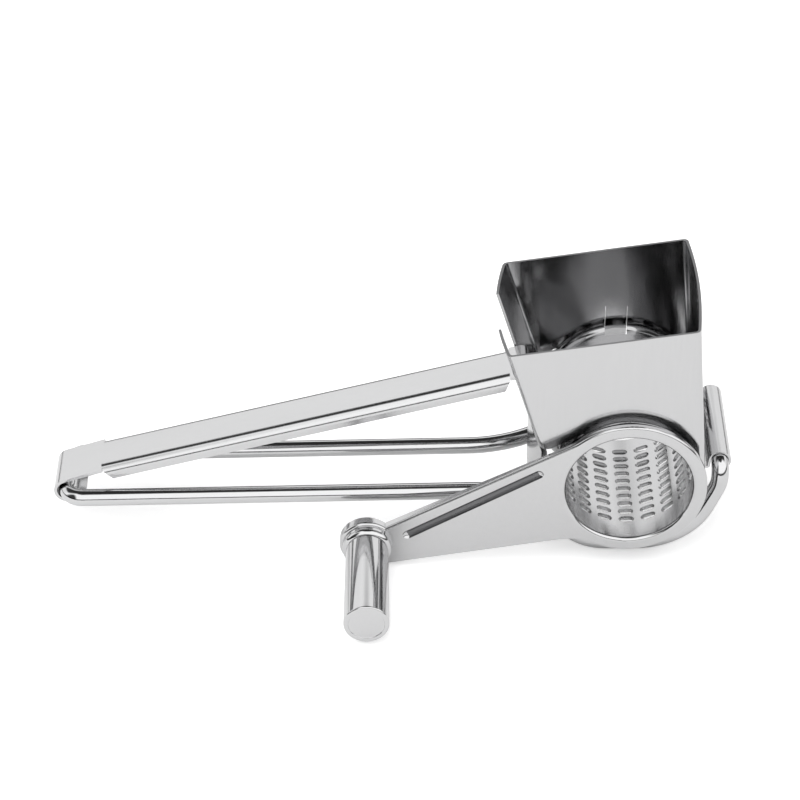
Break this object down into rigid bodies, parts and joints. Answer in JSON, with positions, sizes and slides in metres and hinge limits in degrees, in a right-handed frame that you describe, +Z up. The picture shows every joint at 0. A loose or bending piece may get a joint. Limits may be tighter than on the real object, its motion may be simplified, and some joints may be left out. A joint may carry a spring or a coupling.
{
  "type": "rotary shredder",
  "caption": "Hand-cranked rotary drum shredder in stainless steel: sheet hopper with a hinged presser, perforated drum on a crank arm with a turning knob, and a wire frame handle.",
  "frame": {"origin": "middle of the bounding box at its lowest level, under the handle", "axes": "+X from the grip to the drum, +Y away from the crank side along the drum's axis, +Z up"},
  "size_m": [0.2168, 0.0944, 0.0887],
  "materials": {
    "wire_steel": "bright drawn wire",
    "hopper_steel": "polished sheet",
    "handle_steel": "polished sheet",
    "crank_steel": "polished pressing",
    "drum_steel": "bright perforated sheet",
    "knob_steel": "polished drawn tube"
  },
  "bodies": {
    "frame": {"wire_frame": "wire_steel", "hopper_shell": "hopper_steel", "frame_clip": "hopper_steel"},
    "presser": {"presser_handle": "handle_steel", "presser_plate": "handle_steel"},
    "crank": {"crank_arm": "crank_steel", "drum_front_ring": "drum_steel", "drum_shell": "drum_steel", "drum_rear_ring": "drum_steel", "knob_boss": "crank_steel", "knob_axle": "knob_steel"},
    "knob": {"knob_sleeve": "knob_steel", "knob_base_washer": "knob_steel", "knob_guide_washer": "knob_steel", "knob_end_cap": "knob_steel"}
  },
  "joints": [
    {"name": "presser_lift", "type": "hinge", "parent": "frame", "child": "presser", "pos_m": [-0.104, 0.02155, 0.01325], "axis": [0, -1, 0], "range_deg": [0, 110]},
    {"name": "crank_spin", "type": "hinge", "parent": "frame", "child": "crank", "pos_m": [0.0754, 0.02155, 0.0312], "axis": [0, 1, 0], "continuous": true},
    {"name": "knob_spin", "type": "hinge", "parent": "crank", "child": "knob", "pos_m": [-0.007, 0.02155, 0.0088], "axis": [0, 1, 0], "continuous": true}
  ]
}
